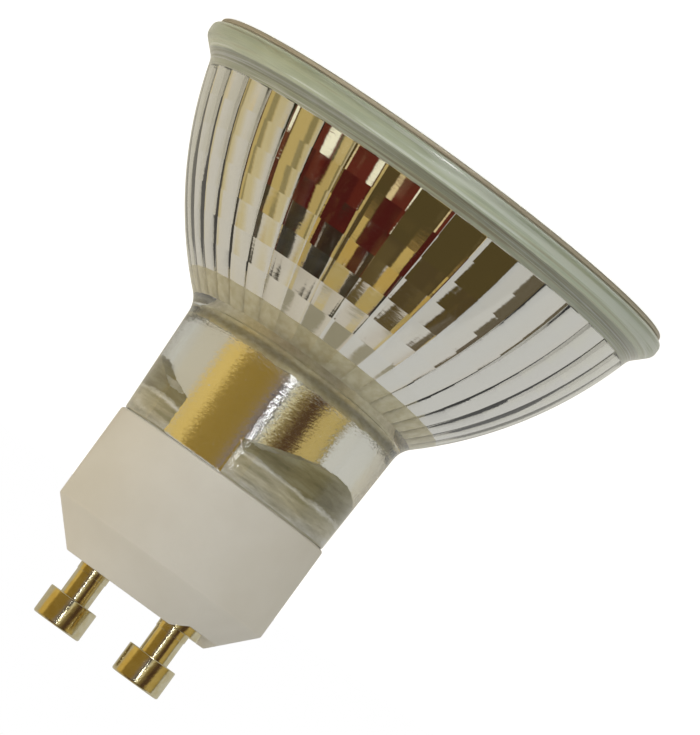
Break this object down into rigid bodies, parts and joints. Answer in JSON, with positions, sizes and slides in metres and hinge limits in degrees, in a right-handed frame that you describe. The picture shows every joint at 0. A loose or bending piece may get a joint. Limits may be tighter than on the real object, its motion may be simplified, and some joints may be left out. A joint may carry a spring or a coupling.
{
  "type": "halogen reflector lamp",
  "caption": "Halogen reflector spot lamp: fluted pressed-glass mirror bowl with a clear front lens, on a bevelled ceramic twist-lock cap with contact pins.",
  "frame": {"origin": "centre of the front glass's outer face, which is the bottom of the lamp as stored", "axes": "+Z along the lamp's axis from the front glass to the contact pins; the two pins stand on the X axis"},
  "size_m": [0.05, 0.05, 0.0532],
  "materials": {
    "reflector_glass": "pressed clear glass with an aluminium film on its inside",
    "lens_glass": "clear, polished",
    "adhesive": "clear silicone",
    "cap_ceramic": "unglazed cream steatite",
    "cement": "matt cement",
    "pin_metal": "bright nickel plate",
    "quartz": "clear fused quartz",
    "tungsten": "grey drawn wire",
    "molybdenum": "dull drawn wire and foil",
    "fuse_glass": "matt",
    "lead_wire": "nickel wire",
    "solder": "satin"
  },
  "bodies": {
    "root": {"reflector": "reflector_glass", "cover_glass": "lens_glass", "lens_adhesive": "adhesive", "ceramic_cap": "cap_ceramic", "cap_cement": "cement", "contact_pin_1": "pin_metal", "contact_pin_2": "pin_metal", "burner_envelope": "quartz", "burner_cement": "cement", "filament_coil": "tungsten", "filament_support": "molybdenum", "inner_lead_1": "molybdenum", "inner_lead_2": "molybdenum", "seal_foil_1": "molybdenum", "seal_foil_2": "molybdenum", "outer_lead_1": "molybdenum", "outer_lead_2": "molybdenum", "fuse_body": "fuse_glass", "fuse_lead": "lead_wire", "pin_solder_1": "solder", "pin_solder_2": "solder"}
  },
  "joints": []
}
